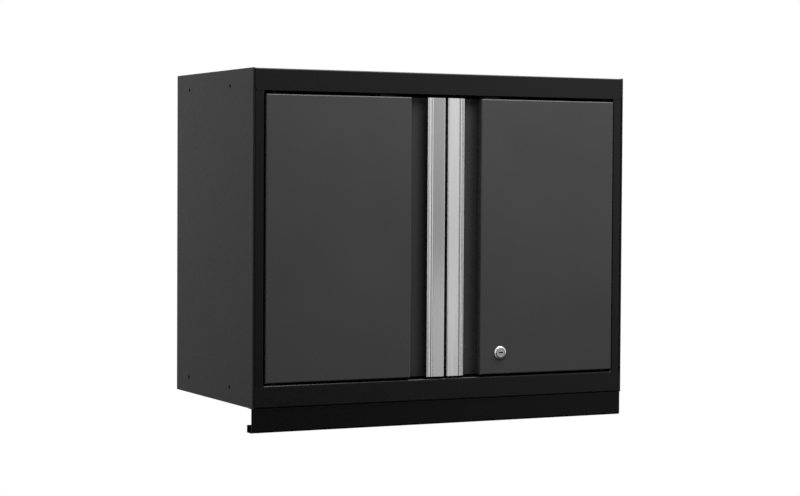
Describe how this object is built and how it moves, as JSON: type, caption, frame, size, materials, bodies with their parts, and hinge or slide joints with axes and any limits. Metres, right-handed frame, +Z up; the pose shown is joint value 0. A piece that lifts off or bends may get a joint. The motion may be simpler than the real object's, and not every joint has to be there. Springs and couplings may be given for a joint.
{
  "type": "hanging wall cabinet",
  "caption": "Folded steel wall cabinet: charcoal doors with full-height aluminium pulls in a black frame, cam lock, lift-out shelf and a J-shaped light valance below.",
  "frame": {"origin": "centre of the wall screw pattern, on the cabinet's wall face, at the middle of the body's width and height", "axes": "+X to the cabinet's right seen from the front, along its longest side; +Y back towards the wall; +Z up"},
  "size_m": [0.7112, 0.3622, 0.5996],
  "materials": {
    "frame_paint": "black powder coat, fine texture, satin",
    "valance_paint": "black powder coat, fine texture, satin",
    "side_paint": "black powder coat, fine texture, satin",
    "carcass_paint": "black powder coat, fine texture, satin",
    "door_paint": "charcoal powder coat, fine texture, satin",
    "handle_aluminium": "brushed along the length, clear anodised",
    "lock_chrome": "polished",
    "zinc_steel": "bright zinc plate",
    "black_steel": "black oxide, lightly oiled",
    "nylon": "black nylon",
    "catch_plastic": "black moulded",
    "magnet_steel": "ground"
  },
  "bodies": {
    "cabinet": {"left_side_panel": "side_paint", "right_side_panel": "side_paint", "left_stile": "frame_paint", "right_stile": "frame_paint", "top_panel": "carcass_paint", "bottom_panel": "carcass_paint", "back_panel": "carcass_paint", "upper_hanging_rail": "carcass_paint", "lower_hanging_rail": "carcass_paint", "top_rail": "frame_paint", "bottom_rail": "frame_paint", "light_valance": "valance_paint", "valance_screws": "black_steel", "left_front_shelf_standard": "carcass_paint", "right_front_shelf_standard": "carcass_paint", "left_rear_shelf_standard": "carcass_paint", "right_rear_shelf_standard": "carcass_paint", "shelf_clips": "zinc_steel", "left_upper_hinge_pin": "black_steel", "right_upper_hinge_pin": "black_steel", "left_lower_hinge_pin": "black_steel", "right_lower_hinge_pin": "black_steel", "left_catch_bracket": "carcass_paint", "right_catch_bracket": "carcass_paint", "left_catch_housing": "catch_plastic", "right_catch_housing": "catch_plastic", "left_catch_magnet": "magnet_steel", "right_catch_magnet": "magnet_steel", "left_catch_screws": "zinc_steel", "right_catch_screws": "zinc_steel", "left_catch_rivets": "zinc_steel", "right_catch_rivets": "zinc_steel"},
    "left_door": {"left_door_outer_panel": "door_paint", "left_door_inner_panel": "door_paint", "left_handle": "handle_aluminium", "left_handle_screws": "zinc_steel", "left_upper_hinge_bush": "nylon", "left_lower_hinge_bush": "nylon", "left_strike_plate": "zinc_steel", "left_strike_rivets": "zinc_steel"},
    "right_door": {"right_door_outer_panel": "door_paint", "right_door_inner_panel": "door_paint", "right_handle": "handle_aluminium", "right_handle_screws": "zinc_steel", "right_upper_hinge_bush": "nylon", "right_lower_hinge_bush": "nylon", "right_strike_plate": "zinc_steel", "right_strike_rivets": "zinc_steel", "lock_housing": "lock_chrome", "lock_nut": "zinc_steel"},
    "lock_core": {"lock_plug": "lock_chrome", "lock_cam": "zinc_steel", "cam_screw": "zinc_steel"},
    "shelf": {"shelf_panel": "carcass_paint", "shelf_stiffener": "carcass_paint"}
  },
  "joints": [
    {"name": "left_door_hinge", "type": "hinge", "parent": "cabinet", "child": "left_door", "pos_m": [-0.3181, -0.3502, 0], "axis": [0, 0, -1], "range_deg": [0, 110]},
    {"name": "right_door_hinge", "type": "hinge", "parent": "cabinet", "child": "right_door", "pos_m": [0.3181, -0.3502, 0], "axis": [0, 0, 1], "range_deg": [0, 110]},
    {"name": "lock_turn", "type": "hinge", "parent": "right_door", "child": "lock_core", "pos_m": [0.1062, -0.3582, -0.2011], "axis": [0, 1, 0], "range_deg": [0, 90]},
    {"name": "shelf_lift", "type": "slide", "parent": "cabinet", "child": "shelf", "axis": [0, 0, 1], "range_m": [0, 0.05]}
  ]
}
